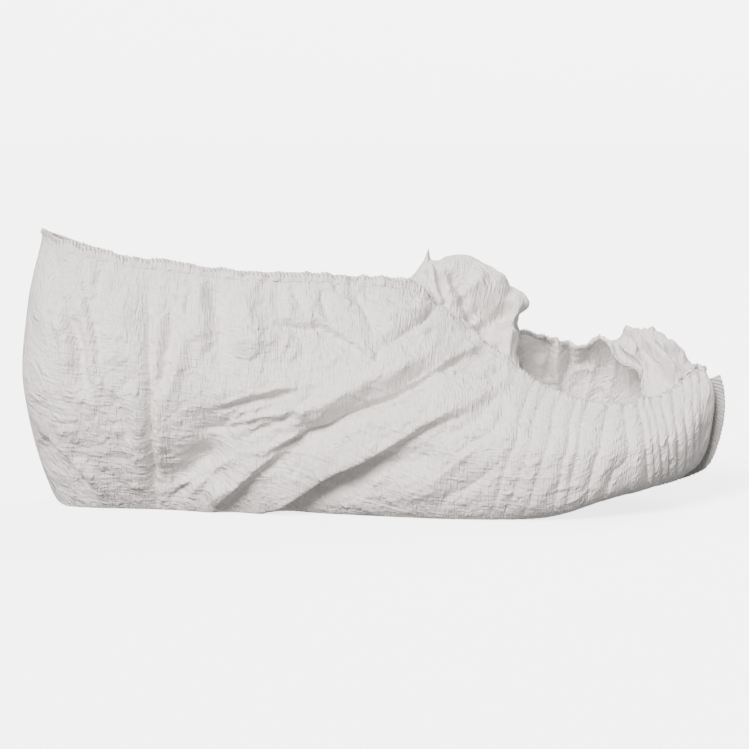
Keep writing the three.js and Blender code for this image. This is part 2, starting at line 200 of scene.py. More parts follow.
RIGHT_EDGE = [
    (0, -144.5, 0, 121.5),
    (6, -140, -10, 120),
    (18, -131, -17, 117.5),
    (40, -112, -21, 113),
    (65, -90, -23, 109.8),
    (95, -60, -24, 106),
    (130, -25, -22, 104.5),
    (160, 5, -18, 101.8),
    (176, 20, -14, 98.5),
    (187, 31, -12, 88.5),
    (200, 44, -12, 77.5),
    (213, 58, -15, 67.5),
    (228, 73, -20, 56),
    (245, 90, -24, 49),
    (262, 108, -22, 46.5),
    (272, 117, -16, 48),
    (284, 128, -10, 50.5),
    (298, 139, -6, 57),
    (310, 146, 0, 61),
]
LEFT_CREST = [
    (0, -146.5, 0, 114),
    (18, -131, 18, 108),
    (40, -111, 22, 101),
    (95, -60, 26, 92.5),
    (130, -25, 25, 91),
    (160, 3, 20, 91.5),
    (168, 13.5, 19, 94.5),
    (172, 18, 18, 99.5),
    (176, 22.5, 17, 106),
    (178, 24.5, 16.5, 108.5),
    (180.5, 27, 16.5, 107),
    (186, 33, 17, 108.6),
    (196, 43, 18, 108.6),
    (201, 49, 18.5, 105.5),
    (206, 55.5, 19, 101),
    (211, 62, 20, 96.5),
    (215, 66.5, 20, 92.5),
    (218, 69.4, 20, 88),
    (220.5, 69.6, 20, 84.5),
    (223, 65, 21, 80.5),
    (226, 65.2, 26, 76.5),
    (230, 70, 33, 71),
    (233, 76, 36, 66.5),
    (236, 80, 37, 64),
    (250, 96, 36, 62),
    (256, 101.5, 32, 66),
    (260, 106, 28, 69.5),
    (264, 109.8, 25, 71),
    (268, 112.5, 22.5, 74.6),
    (270, 114.3, 21, 75.8),
    (274, 117.5, 19.5, 74.6),
    (278, 121, 18, 73.2),
    (285, 128, 15, 72.8),
    (290, 132.5, 13, 71.6),
    (294, 136, 12, 69),
    (298, 140, 10.5, 64.4),
    (302, 143.2, 8.5, 59),
    (310, 149.5, 0, 52),
]
LEFT_EDGE = [
    (0, -144.5, 0, 121.5),
    (6, -139.5, 10, 119),
    (18, -130, 16, 115),
    (40, -110, 20, 108),
    (95, -60, 23, 99.5),
    (130, -25, 22, 98),
    (160, 3, 17, 97.5),
    (168, 12, 12, 98.5),
    (173, 18, 4.5, 96),
    (178, 24, -2, 90),
    (188, 33, -5, 81.5),
    (200, 45, -5.5, 71.5),
    (210, 55.5, -7, 62.5),
    (217, 62, -5, 59.5),
    (221, 64, 4, 63),
    (225, 65.5, 15, 71),
    (230, 70.5, 27, 73.5),
    (235, 78.5, 34, 70),
    (242, 86.5, 36, 68),
    (251, 97.5, 33, 67.2),
    (256, 102.3, 25, 71),
    (260, 108, 18, 67),
    (265, 115, 10, 61),
    (269, 119.3, 4, 55),
    (273, 119.5, -0.5, 49.2),
    (278, 119, -5, 45.3),
    (286, 128, -7, 46.5),
    (292, 133.5, -5, 51),
    (297, 137.5, -3, 57),
    (302, 141, -1, 61),
    (310, 146, 0, 61),
]

# ---- Folds and creases ----

# Where the left panel's crest or rim is pinched into a point.
# along, breadth, height
POINTS = [
    (178.3, 1.3, 3.8),
    (239.0, 1.2, 3.2),
    (256.5, 1.6, 2.2),
    (269.5, 2.0, 1.2),
    (288.0, 3.0, 0.8),
]

# Where the left panel is drawn aside, near its crest and beyond it: round a place seen from
# the side, within a radius.
# x, z, radius, towards the toe, up
PULLS = [
    (70, 79, 6.0, -5.0, 0),
    (69, 88, 4.5, 1.0, -1.0),
    (66, 68, 6.0, -2.0, 0),
]

# Folds that stand over a hollow, seen from the side: a ridge from one point to another with
# its middle raised by a bow, soft above and steep below, whose edge hangs down.
# from x, from z, to x, to z, bow, breadth above, rise, steep part, breadth below, drop, hang
OVERHANGS = [
    (-46, 3, 66, 61, 4.5, 13, 3.4, 3.8, 6.0, 1.3, 0.8),
    (-46, 3, 14, 38, 1.6, 7, 1.0, 5.0, 8.0, 3.4, 1.4),
    (-69, 3, -36, 35, 2, 7, 2.4, 5.5, 7, 2.4, 1.0),
    (-48, 31, 49, 75, 0.8, 8, 2.4, 3.6, 5.0, 2.2, 1.0),
    (-36, 45, 27, 74, 0, 9, 2.6, 9, 8, 6.4, 0.8),
    (-68, 50, -30, 59, 1.5, 9, 2.6, 3.8, 5, 2.6, 1.0),
    (-141, 35, -117, 5, 1, 5, 1.8, 4.5, 9, 3.2, 0),
    (-21, 85, 4, 66, 1.5, 5, 1.2, 2.4, 4, 2.6, 0.6),
    (-56, 43, -36, 47, 1, 4, 1.4, 3.0, 4, 1.8, 0.7),
    (-54, 39, -30, 51, 0, 4, 1.2, 3.0, 4, 1.4, 0.5),
]

# Broad and soft undulations: above 0 a swell, below 0 a hollow.
# from x, from z, to x, to z, bow, breadth, rise
SWELLS = [
    (-34, 6, -2, 20, 0, 6.0, -4.2),
    (-94, 7, -62, 28, 1, 8.5, -5.0),
    (-102, 86, -101, 10, 0, 3.4, 1.8),
    (-93, 86, -93, 20, 0, 3.6, 2.0),
    (-84, 88, -92, 52, 0, 3.0, -3.5),
    (-79, 86, -88, 48, 0, 3.4, 3.0),
    (-139, 114, -136, 84, 0, 2.8, -2.8),
    (-137, 98, -130, 54, 0, 3.2, 2.5),
    (-132, 92, -124, 50, 1, 2.8, -5.0),
    (-127, 96, -119, 56, 1, 3.0, 3.2),
    (-117, 110, -120, 90, 0, 2.2, -2.8),
    (-108, 102, -110, 62, 0, 7.0, 2.8),
    (-76, 102, -73, 70, 0, 3.6, 2.0),
    (-68, 102, -64, 64, 0, 4.6, -3.5),
    (-55, 102, -52, 68, 0, 5.0, 3.2),
    (-40, 104, -41, 86, 0, 4.0, -1.8),
    (-69, 48, -79, 12, 3, 9.0, -5.0),
    (-66, 72, -44, 76, 4, 8.0, 2.0),
    (-41, 81, -12, 78, -1, 4.4, -2.8),
    (3, 21, 28, 31, 0, 5.0, -2.5),
    (10, 10, 34, 20, 0, 5.0, 1.5),
    (28, 64, 56, 72, 1, 3.0, -1.8),
    (2, 84, 26, 82, 0, 7.0, 2.0),
    (-30, 30, 40, 60, 0, 7.0, 1.8),
]

# Crisp lines: above 0 a crest, below 0 a crease.
# from x, from z, to x, to z, bow, breadth, rise
CREASES = [
    (-96, 106, -96, 80, 0, 1.8, -1.9),
    (-96, 94, -95, 1, 0, 1.3, -6.0),
    (-126, 104, -117, 64, 1, 1.8, -3.8),
    (-113, 55, -104, 31, 1, 1.6, -3.0),
    (-103, 62, -109, 55, 0, 1.6, -1.4),
    (-79, 99, -80, 87, 0, 1.2, -3.5),
    (-94, 3.5, -62, 24.5, 1, 2.2, 2.8),
    (-96, 3, -76, 12, 1, 1.8, -1.0),
    (-90, 5, -70, 18, 1, 2.0, -2.0),
    (-84, 4, -58, 26, 2, 2.6, 3.0),
    (-74, 3, -47, 21, 2, 2.2, 1.8),
    (3, 68, 0, 71, 0, 2.2, -3.6),
    (-17, 84, -46, 84, 1, 1.8, -3.6),
    (2, 72, 30, 92, -1, 2.2, -3.8),
    (-10, 98, 1, 78, 1, 2.2, -3.2),
    (-36, 101, -29, 89, 0, 1.8, -3.1),
    (-23, 99, -18, 86, 0, 1.8, -3.1),
    (-8, 97, 26, 93, -1, 2.0, -2.1),
    (-4, 92, 20, 87, 0, 2.2, 2.0),
    (-56, 46, -34, 53, 0, 2.0, 2.0),
    (-67, 44, -57, 49, 0, 1.7, 2.0),
    (-62, 41, -55, 48, 0, 1.5, 2.0),
    (-66, 38, -60, 45, 0, 1.5, -1.6),
    (61, 52, 35, 30, 2, 2.2, -2.3),
    (55, 54, 29, 35, 1, 2.0, -1.8),
    (55, 26, 29, 9, 1, 2.2, -1.5),
    (48, 36, 22, 16, 1, 2.4, 1.4),
    (36, 62, 57, 68, 0, 1.9, -1.5),
    (42, 58, 59, 64, 0, 1.9, -1.5),
    (25, 63, 47, 73, 1, 2.2, 2.0),
    (12, 60, 44, 70, 1, 2.0, -1.6),
    (-20, 36, 20, 52, 1, 2.4, 1.2),
]

# The toe's gathers hang from the hem: where each crease starts under it, and how far its
# foot lies behind or before that.
# x at the hem, lean towards the toe, depth
TOE_CREASES = [
    (56, -20, 0.0),
    (63, -18, 0.5),
    (70, -16, 1.49),
    (75, -13, 0.92),
    (81, -12, 1.49),
    (89, -14, 1.84),
    (94, -14, 1.38),
    (103, -10, 2.07),
    (110, -1, 2.07),
    (116, 2, 1.84),
    (119, 3, 1.15),
    (122, 3, 1.38),
    (126, 4, 1.61),
    (131, 3, 1.49),
    (136.5, 1, 1.49),
    (140.5, 1, 1.15),
    (144, 1, 0.92),
    (150, 0, 0.57),
]

# Where small dry wrinkles lie: a box seen from the side, the way they run in degrees, how
# much that varies, how many there are and how strong they are.
# from x, to x, from z, to z, heading, spread, count, strength
WRINKLES = [
    (-97, -70, 8, 38, 22, 10, 34, 1.4),
    (-142, -98, 6, 46, -6, 12, 70, 1.1),
    (-142, -98, 40, 108, 88, 16, 60, 1.5),
    (-92, 10, 70, 100, 70, 40, 110, 1.8),
    (-70, -20, 34, 60, 24, 14, 44, 1.6),
    (-36, 40, 36, 74, 27, 8, 60, 1.2),
    (-20, 60, 6, 40, 30, 9, 50, 1.0),
    (-60, 20, 6, 50, 30, 14, 40, 1.0),
    (0, 60, 62, 92, 25, 16, 40, 1.1),
    (56, 108, 6, 46, 66, 6, 40, 0.5),
    (104, 150, 10, 56, 94, 8, 40, 0.6),
    (20, 140, 60, 110, 60, 60, 130, 1.9),
]

# The left panel's folds where it rolls inwards over the mouth.
# from x, from z, to x, to z, bow, breadth, rise
ROLL_FOLDS = [
    (26, 108, 22, 102, -0.5, 1.4, -2.9),
    (22, 102, 23.5, 91, 0.5, 1.4, -2.9),
    (25, 106, 27.5, 92, 0, 1.8, 2.9),
    (28.5, 102, 32, 90, 0, 1.5, -3.6),
    (30, 104, 35.5, 91, 0, 2.2, 2.3),
    (34, 101, 41, 93, 0, 3.4, -4.2),
    (40, 94, 48, 82, 0, 3.4, -7.8),
    (42, 93, 50.5, 81, 0, 1.8, 5.2),
    (46, 80, 55, 75, 0, 3.2, -9.1),
    (43, 108, 67, 91, 1.5, 1.3, -2.3),
    (42, 102, 62, 93, 1, 6.0, 4.4),
    (69, 88, 53, 89.5, 0.5, 3.0, 2.9),
    (67, 83.5, 52, 82, 0, 4.0, -4.2),
    (42, 84, 66, 85, 0, 6.5, -7.0),
    (54, 77, 65, 76, 0, 4.0, 3.1),
    (59, 80, 61, 63, 0, 1.8, 2.6),
    (56, 74, 57, 62, 0, 1.6, -3.1),
    (45, 104, 53, 96, 0, 2.0, -1.8),
    (50, 98, 60, 94, 0, 1.6, -1.6),
    (118, 73, 137, 55, 0, 3.6, 6.0),
    (129, 68, 138, 57, 1, 2.6, -5.5),
    (115, 72, 127, 59, 0, 3.0, -4.8),
    (107, 68, 120, 58, 0, 1.5, -2.6),
    (109, 70, 122, 60, 0, 1.4, 2.6),
    (112, 74, 128, 74, 0, 2.4, 2.2),
    (124, 74, 140, 64, 0, 1.8, 2.9),
    (134, 68, 142, 59, 0, 1.8, -3.1),
    (121, 62, 125, 52, 0, 1.8, -2.4),
    (127, 60, 131, 50, 0, 1.8, -2.4),
    (133, 60, 136, 52, 0, 1.6, 2.2),
]

# The left panel's folds that show through the mouth; above 0 stands into the cover.
# from x, from z, to x, to z, bow, breadth, rise
INNER_FOLDS = [
    (83.5, 75, 85, 42, 0, 2.2, 4.0),
    (79, 72, 81.5, 48, 0, 1.8, -3.6),
    (88.5, 72, 90, 50, 0, 1.8, -3.6),
    (73, 69, 75, 56, 0, 4.4, -3.6),
    (91, 67, 108, 67, 1, 1.8, 3.2),
    (98, 63, 100, 54, 0, 6.5, -6.0),
    (68, 66, 80, 56, -2, 1.6, 2.4),
    (92, 59, 105, 50, 1, 1.6, 2.2),
    (94, 56, 102, 60, -1, 1.4, -1.6),
    (70, 60, 76, 64, 0, 1.4, 1.6),
    (108, 66, 120, 52, 1, 2.2, 2.6),
    (104, 64, 114, 50, 1, 2.0, -2.2),
]

# Where along the foot the left panel starts to roll inwards, where it stops, and where it
# starts again.
ROLL_STARTS = (166, 174)
ROLL_ENDS = (217, 224)
PUFF_STARTS = (250, 256)

# Over which rows of the left panel these set in or end, counted from its crest.
WALL_FOLDS_END = (-60, -25)
ROLL_FOLDS_START = (-12, 0)
POINTS_START = (-30, 0)
PULLS_START = (-90, -60)

# How crisp a line is: 1 is a sharp edge and 2 a round swell.
SHARP = 1.0
ROUND = 2.0
ROLL_CRISPNESS = 1.4
INNER_CRISPNESS = 1.6

# A line fades over these shares of its length, and ends this many of its widths away.
LINE_FADE = (-0.08, 0.3)
LINE_REACH = 5.0

# An overhang fades over these shares of its length, and over this distance past its ends.
OVERHANG_START = (-0.06, 0.12)
OVERHANG_END = (-0.04, 0.28)
OVERHANG_PAST = 7.0

# A wrinkle's half length, width and rise vary between two values. The rise is a share of its
# width, times its strength, and its bow varies by a share of its half length.
WRINKLE_HALF = (2.5, 9)
WRINKLE_WIDTH = (0.9, 1.8)
WRINKLE_RISE = (0.15, 0.42)
WRINKLE_BOW = 0.08

# The ripples that hang from the hem.
# pitch, reach down the wall
GATHERS = [
    (3.2, 4.0),
    (6.1, 9.0),
    (11.5, 20.0),
]

# Each ripple rises by a share of its pitch and its patch's height. They grow stronger between
# two places along the foot.
GATHER_RISE = 0.11
GATHER_MEAN = 0.64
GATHER_PATCH = 0.65
GATHER_STRENGTH = 0.55
GATHER_GROWTH = 0.35
GATHERS_GROW = (225, 250)

# The noise that moves the ripples about, and the noise that makes them patchy.
# height, patch in pitches, stretch down the wall, what it adds to the seed
GATHER_DRIFT = (1.6, 3, 0.35, 0)
GATHER_PATCHES = (0.6, 4, 0.2, 10)

# The toe's scallops bow on their way down, and fade over these shares of it.
SCALLOP_BOW = 0.25
SCALLOP_POWER = 0.7
SCALLOP_MEAN = 0.7
SCALLOPS_START = (-0.15, 0.12)
SCALLOPS_END = (0.75, 1.05)

# On the left panel's roll the scallops keep a share of their depth, and get the rest of it
# over these shares of the way down.
ROLL_SCALLOPS = 0.35
ROLL_SCALLOPS_END = (0.25, 0.45)

# The toe swells out just behind its seam, from one height to another.
# rise, distance from the seam, breadth
TOE_SWELL = (1.3, 4.5, 2.8)
TOE_SWELL_HEIGHTS = (12, 30)

# All relief fades towards the joined edges, and across the sole towards the keel.
JOIN_FADE = (0, 7)
SOLE_FADE = (0.45, 1.0)

# Noise is a square of random values, read from a place inside it.
CLOUD_CELLS = 64
CLOUD_START = (11.3, 5.7)
SEED = 5
LEFT_SEED = 12
GATHER_SEED = 60

# The patterns made of noise.
# name: height, patch, what it adds to the seed
NOISES = {
    "bent along": (1.0, 12, 1),
    "bent up": (0.9, 9, 2),
    "billows": (0.7, 21, 3),
    "scallop drift": (0.8, 14, 70),
    "pucker drift": (1.1, 7, 90),
    "pucker sizes": (0.5, 5, 91),
    "ragged edge": (1.1, 4.2, 92),
    "fin waves": (0.35, 7, 95),
}

# Which rows of their noise the patterns along the hem are read from.
PUCKER_ROW = 3
RAGGED_ROW = 5

# ---- Looks: sizes in metres, the lens in millimetres and turns in degrees ----

SHEET_COLOUR = (0.80, 0.785, 0.77)
SHEET_DARK = (0.75, 0.731, 0.716)
SHEET_LIGHT = (0.88, 0.857, 0.84)
SHEET_GLOW = (0.85, 0.84, 0.83)
SHEET_RELIEF = 0.0025
SHEET_ROUGHNESS = (0.5, 0.72)
GLOW_SHARE = 0.2
# The hem thread's colour is its own darker tone plus painted shade: it draws the shadow line
# under the hem's rolled top edge.
HEM_YARN_AND_SHADE = (0.54, 0.53, 0.515)
# The seam's colour is the thread's own darker tone plus painted shade. It also darkens the fin
# of sheet, standing in for the shadow round the toe's seam.
SEAM_YARN_AND_SHADE = (0.47, 0.465, 0.455)
YARN_RELIEF = 0.0001

CAMERA_TARGET = (-0.0008, 0.0, 0.0575)
CAMERA_LENS = 140.0
CAMERA_SENSOR = 36
CAMERA_TILT = 7
FRAME_WIDTH = 0.3314

FLOOR_COLOUR = (0.93, 0.93, 0.93)
FLOOR_GLOW = 3.2
FLOOR_RADIUS = 3.0
FLOOR_SIDES = 96
RIM_RADIUS = 1.2
RIM_STEPS = 16

# The sky goes from one strength to another between two heights of its sphere.
SKY_HEIGHTS = (-0.2, 0.4)
SKY_STRENGTHS = (0.24, 0.60)

# The lamps.
# name, strength, breadth in degrees, the way the light goes, colour
LAMPS = [
    ("key", 10.5, 26, (0.34, 0.74, -0.58), (1.0, 0.93, 0.90)),
    ("back", 3.4, 40, (-0.45, -0.70, -0.55), (1.0, 0.98, 0.96)),
]

# ---- Curves ----


def table(rows, mirror=False):
    """(distances, points) of a table, on the right side if it is mirrored."""
    data = np.array(rows, float)
    points = data[:, 1:].copy()
    if mirror:
        points[:, 1] *= -1
    return data[:, 0], points


def slopes(knots, points):
    """Central differences, one-sided at the ends and square to the centre plane there."""
    order = np.arange(len(knots))
    before, after = np.maximum(order - 1, 0), np.minimum(order + 1, len(knots) - 1)
    rise = (points[after] - points[before]) / (knots[after] - knots[before])[:, None]
    for end in (0, -1):
        if points[end, 1] == 0:
            rise[end, [0, 2]] = 0
    return rise


def through(knots, points, at):
    """Points at the distances `at` on the cubic curve through a row of points."""
    i = np.clip(np.searchsorted(knots, at, side="right") - 1, 0, len(knots) - 2)
    span = (knots[i + 1] - knots[i])[:, None]
    f = (at - knots[i])[:, None] / span
    rise = slopes(knots, points)
    return (
        (1 + 2 * f) * (1 - f) ** 2 * points[i]
        + f * (1 - f) ** 2 * span * rise[i]
        + f * f * (3 - 2 * f) * points[i + 1]
        + f * f * (f - 1) * span * rise[i + 1]
    )


def walked(points):
    """The distance walked to each of a row of points."""
    steps = np.linalg.norm(np.diff(points, axis=0), axis=1)
    return np.concatenate([[0.0], np.cumsum(steps)])


def resampled(rows, places, at):
    """A row of points or directions, known at some places and wanted at others."""
    return np.stack([np.interp(at, places, rows[:, k]) for k in range(3)], axis=1)


def smooth(x, low, high):
    """0 below low, 1 above high and an S-curve between them."""
    f = np.clip((x - low) / (high - low), 0, 1)
    return f * f * (3 - 2 * f)


def bell(x):
    """1 at 0, and a bell curve down to 0 on both sides of it."""
    return np.exp(-(x**2))


# ---- The panels' plain shape ----


def column_places():
    """Distances along the foot, closest together round the toe."""
    knots, density = np.array(DENSITIES, float).T
    fine = np.linspace(0, LENGTH, DENSITY_STEPS)
    total = np.cumsum(np.interp(fine, knots, density))
    return np.interp(np.linspace(total[0], total[-1], COLUMNS), total, fine)


def guide_points(side, along):
    """What one side's sections pass through, from the keel to the mouth, column by column."""
    right = side == "right"
    keel = through(*table(KEEL), along)
    sole = through(*table(SOLE_EDGE, right), along)
    belly = through(*table(BELLY, right), along)
    if not right:
        place, breadth, depth = LEFT_DENT
        belly[:, 1] -= depth * bell((along - place) / breadth)
    edge = through(*table(RIGHT_EDGE if right else LEFT_EDGE), along)
    crest = through(*table(LEFT_CREST), along)
    top = edge if right else crest
    outwards = belly - keel
    outwards[:, 2] = 0
    outwards /= np.linalg.norm(outwards, axis=1)[:, None]
    slack = SLACK * (0.5 + 0.5 * np.abs(outwards[:, 1:2]))
    shoulder = belly + SHOULDER_SHARE * (top - belly) + slack * outwards
    guides = [keel, sole, belly, shoulder] + ([] if right else [crest]) + [edge]
    return np.stack(guides, axis=1)


def plain_grid(side):
    """A panel's points, (columns, rows, 3), and its flat coordinates, (columns, rows, 2)."""
    along = column_places()
    grid, flat = [], []
    for place, guides in zip(along, guide_points(side, along)):
        knots = walked(guides)
        sole_end, edge = knots[1], knots[-1]
        hem_foot = edge - HEM_HEIGHT
        sole = sole_end * np.linspace(0, 1, SOLE_ROWS + 1)[:-1]
        if side == "right":
            wall = [np.linspace(sole_end, hem_foot, WALL_ROWS + 1)[:-1]]
        else:
            crest = knots[4]
            outer_rows = ROLL_ROW - SOLE_ROWS
            wall = [
                np.linspace(sole_end, crest, outer_rows + 1)[:-1],
                np.linspace(crest, hem_foot, WALL_ROWS - outer_rows + 1)[:-1],
            ]
        steps = np.concatenate([sole, *wall, np.linspace(hem_foot, edge, HEM_ROWS + 1)])
        grid.append(through(knots, guides, steps))
        flat.append(np.stack([np.full(len(steps), place), steps], axis=1))
    return np.array(grid), np.array(flat)


def normals_of(grid, side):
    """Outward unit normals of a grid."""
    facing = np.cross(np.gradient(grid, axis=0), np.gradient(grid, axis=1))
    facing *= 1 if side == "right" else -1
    return facing / np.maximum(np.linalg.norm(facing, axis=2, keepdims=True), 1e-9)


def on_floor(grid):
    """Flattens what would come too near the ground, and lifts the channel along the keel."""
    across = np.minimum(np.abs(grid[..., 1]) / CHANNEL_HALF_WIDTH, 1)
    channel = CHANNEL_DEPTH * (0.5 + 0.5 * np.cos(np.pi * across))
    grid[..., 2] = np.maximum(grid[..., 2], np.maximum(channel, GROUND_GAP))


# ---- Relief ----


def cloud(u, v, size, seed):
    """Smooth noise from -1 to 1, in patches of a size."""
    values = np.random.default_rng(seed).uniform(-1, 1, (CLOUD_CELLS, CLOUD_CELLS))
    a, b = u / size + CLOUD_START[0], v / size + CLOUD_START[1]
    i, j = np.floor(a).astype(int), np.floor(b).astype(int)
    f, g = smooth(a - i, 0, 1), smooth(b - j, 0, 1)
    column, next_column = i % CLOUD_CELLS, (i + 1) % CLOUD_CELLS
    row, next_row = j % CLOUD_CELLS, (j + 1) % CLOUD_CELLS
    low = values[column, row] * (1 - f) + values[next_column, row] * f
    high = values[column, next_row] * (1 - f) + values[next_column, next_row] * f
    return low * (1 - g) + high * g


def pattern(name, u, v=0, seed=SEED):
    """One of the patterns made of noise, at places in millimetres."""
    height, patch, own = NOISES[name]
    return height * cloud(u, v, patch, seed + own)


def line_place(x, z, row):
    """Where points lie beside a bowed line: (share along it, distance across, past its end)."""
    from_x, from_z, to_x, to_z, bow = row[:5]
    dx, dz = to_x - from_x, to_z - from_z
    length = math.hypot(dx, dz)
    share = ((x - from_x) * dx + (z - from_z) * dz) / length**2
    held = np.clip(share, 0, 1)
    across = ((z - from_z) * dx - (x - from_x) * dz) / length - bow * 4 * held * (1 - held)
    return held, across, (share - held) * length


def add_overhang(lift, slide, x, z, row):
    """Adds a fold that stands over a hollow: soft above its ridge and steep below it."""
    above, rise, steep, below, drop, hang = row[5:]
    held, across, past = line_place(x, z, row)
    ends = smooth(held, *OVERHANG_START) * smooth(1 - held, *OVERHANG_END)
    fade = ends * bell(past / OVERHANG_PAST)
    fall = smooth(-across, 0, steep)
    under = np.exp(-((np.maximum(-across - steep, 0) / below) ** 1.5))
    over = np.exp(-((np.maximum(across, 0) / above) ** 1.4))
    lift += fade * (rise * over * (1 - fall) - drop * fall * under)
    slide -= fade * hang * bell(across / (0.5 * above)) * (1 - fall)


def add_line(lift, x, z, row, crispness):
    """Adds one fold or crease."""
    width, rise = row[5:]
    held, across, past = line_place(x, z, row)
    fade = smooth(np.minimum(held, 1 - held), *LINE_FADE)
    away = np.sqrt(across**2 + past**2) / width
    cut = np.clip((LINE_REACH - away) / (LINE_REACH - 1), 0, 1)
    lift += rise * fade * np.exp(-(away**crispness)) * cut


def local(x, z, row, reach):
    """The columns and rows of a grid that a line can touch, as one slice each."""
    near = (
        (x > min(row[0], row[2]) - reach) & (x < max(row[0], row[2]) + reach)
        & (z > min(row[1], row[3]) - reach) & (z < max(row[1], row[3]) + reach)
    )
    columns, rows = np.flatnonzero(near.any(axis=1)), np.flatnonzero(near.any(axis=0))
    if not len(columns):
        return slice(0, 0), slice(0, 0)
    return slice(columns[0], columns[-1] + 1), slice(rows[0], rows[-1] + 1)


def add_all(lift, x, z, rows, crispness):
    """Adds a table's folds or creases, each only where it can reach."""
    for row in rows:
        part = local(x, z, row, LINE_REACH * row[5] + abs(row[4]))
        add_line(lift[part], x[part], z[part], row, crispness)


def wrinkles(seed):
    """Rows of short creases, scattered over the places where wrinkles lie."""
    rng = np.random.default_rng(seed)
    rows = []
    for low_x, high_x, low_z, high_z, heading, spread, count, strength in WRINKLES:
        for _ in range(count):
            x, z = rng.uniform(low_x, high_x), rng.uniform(low_z, high_z)
            angle = math.radians(heading + rng.normal(0, spread))
            half = rng.uniform(*WRINKLE_HALF)
            dx, dz = half * math.cos(angle), half * math.sin(angle)
            width = rng.uniform(*WRINKLE_WIDTH)
            rise = strength * width * rng.uniform(*WRINKLE_RISE) * rng.choice([-1, 1])
            bow = rng.normal(0, WRINKLE_BOW) * half
            rows.append((x - dx, z - dz, x + dx, z + dz, bow, width, rise))
    return rows


def gather_noise(kind, along, below, pitch, seed):
    """The noise of one kind for ripples of a pitch."""
    height, patch, stretch, own = kind
    return height * cloud(along, stretch * below, patch * pitch, seed + own)


def gathers(along, below, seed):
    """Ripples that hang from the hem: fine ones at it, merging into longer and softer ones."""
    strength = GATHER_STRENGTH + GATHER_GROWTH * smooth(along, *GATHERS_GROW)
    total = np.zeros_like(along)
    for k, (pitch, reach) in enumerate(GATHERS):
        drift = gather_noise(GATHER_DRIFT, along, below, pitch, seed + k)
        wave = np.abs(np.sin(np.pi * (along / pitch + drift))) - GATHER_MEAN
        patchy = GATHER_PATCH + gather_noise(GATHER_PATCHES, along, below, pitch, seed + k)
        total += GATHER_RISE * pitch * strength * wave * patchy * np.exp(-below / reach)
    return total


def toe_gathers(x, below, height, drift):
    """The lift of the toe's scallops between its creases."""
    share = np.clip(below / height, 0, 1)
    tops, leans, depths = np.array(TOE_CREASES, float).T
    top = x - np.interp(x, tops, leans) * share * (1 - SCALLOP_BOW * (1 - share)) + drift
    phase = np.interp(top, tops, np.arange(len(tops)))
    part = phase - np.floor(phase)
    depth = np.interp(top, tops, depths)
    scallop = np.abs(np.sin(np.pi * part)) ** SCALLOP_POWER - SCALLOP_MEAN
    ends = smooth(share, *SCALLOPS_START) * (1 - smooth(share, *SCALLOPS_END))
    return depth * scallop * ends


def toe_swell(along, z):
    """The swelling just behind the toe's seam."""
    rise, place, breadth = TOE_SWELL
    return rise * bell((LENGTH - along - place) / breadth) * smooth(z, *TOE_SWELL_HEIGHTS)


def wall_folds(x, z):
    """What a wall's folds and creases do at places seen from the side: (lift, slide up)."""
    lift, slide = np.zeros_like(x), np.zeros_like(x)
    for row in OVERHANGS:
        add_overhang(lift, slide, x, z, row)
    add_all(lift, x, z, SWELLS, ROUND)
    add_all(lift, x, z, CREASES, SHARP)
    return lift, slide


def past_crest(grid, limits):
    """0 before a range of the left panel's rows and 1 after it, for each row of a grid."""
    rows = np.arange(grid.shape[1])[None]
    return smooth(rows - ROLL_ROW, *limits)


def roll_folds(x, z, along):
    """The lift of the left panel's folds, where it rolls inwards and where it shows inside."""
    roll, inner = np.zeros_like(x), np.zeros_like(x)
    add_all(roll, x, z, ROLL_FOLDS, ROLL_CRISPNESS)
    add_all(inner, x, z, INNER_FOLDS, INNER_CRISPNESS)
    lobe = smooth(along, *ROLL_STARTS) * (1 - smooth(along, *ROLL_ENDS))
    rolled = lobe + smooth(along, *PUFF_STARTS)
    return roll * past_crest(x, ROLL_FOLDS_START) * rolled - inner * (1 - rolled)


def pinch_and_pull(moved, plain, along):
    """Pinches the left panel into its points, and draws it aside near its crest."""
    x, z = plain[..., 0], plain[..., 2]
    upper = past_crest(plain, POINTS_START)
    for place, breadth, height in POINTS:
        moved[..., 2] += height * upper * np.exp(-np.abs(along - place) / breadth)
    drawn = past_crest(plain, PULLS_START)
    for at_x, at_z, radius, aside, raised in PULLS:
        near = drawn * np.exp(-((x - at_x) ** 2 + (z - at_z) ** 2) / radius**2)
        moved[..., 0] += aside * near
        moved[..., 2] += raised * near


def folded(grid, flat, side):
    """The panel's points with all their relief."""
    right = side == "right"
    seed = SEED if right else LEFT_SEED
    x, z = grid[..., 0], grid[..., 2]
    along, up = flat[..., 0], flat[..., 1]
    sole = up[:, SOLE_ROWS : SOLE_ROWS + 1]
    below = up[:, -1:] - up
    height = up[:, -1:] - sole
    bent_x = x + pattern("bent along", x, z, seed)
    bent_z = z + pattern("bent up", x, z, seed)
    lift = pattern("billows", along, up, seed)
    add_all(lift, x, z, wrinkles(seed), SHARP)
    wall, slide = wall_folds(bent_x + (0 if right else LEFT_SHIFT), bent_z)
    if right:
        lift += wall
        over_crest = 1
    else:
        outside = 1 - past_crest(grid, WALL_FOLDS_END)
        lift += LEFT_SHARE * wall * outside
        lift += roll_folds(bent_x, bent_z, along)
        slide *= LEFT_SHARE * outside
        down = smooth(below / height, *ROLL_SCALLOPS_END)
        over_crest = ROLL_SCALLOPS + (1 - ROLL_SCALLOPS) * down
    drift = pattern("scallop drift", along, below, seed)
    lift += toe_gathers(x, below, height, drift) * over_crest
    lift += gathers(along, below, seed + GATHER_SEED)
    lift += toe_swell(along, z)
    held = smooth(np.minimum(along, LENGTH - along), *JOIN_FADE) * smooth(up / sole, *SOLE_FADE)
    moved = grid + normals_of(grid, side) * (lift * held)[..., None]
    moved[..., 2] += slide * held
    if not right:
        pinch_and_pull(moved, grid, along)
    return moved


# ---- Meshes ----


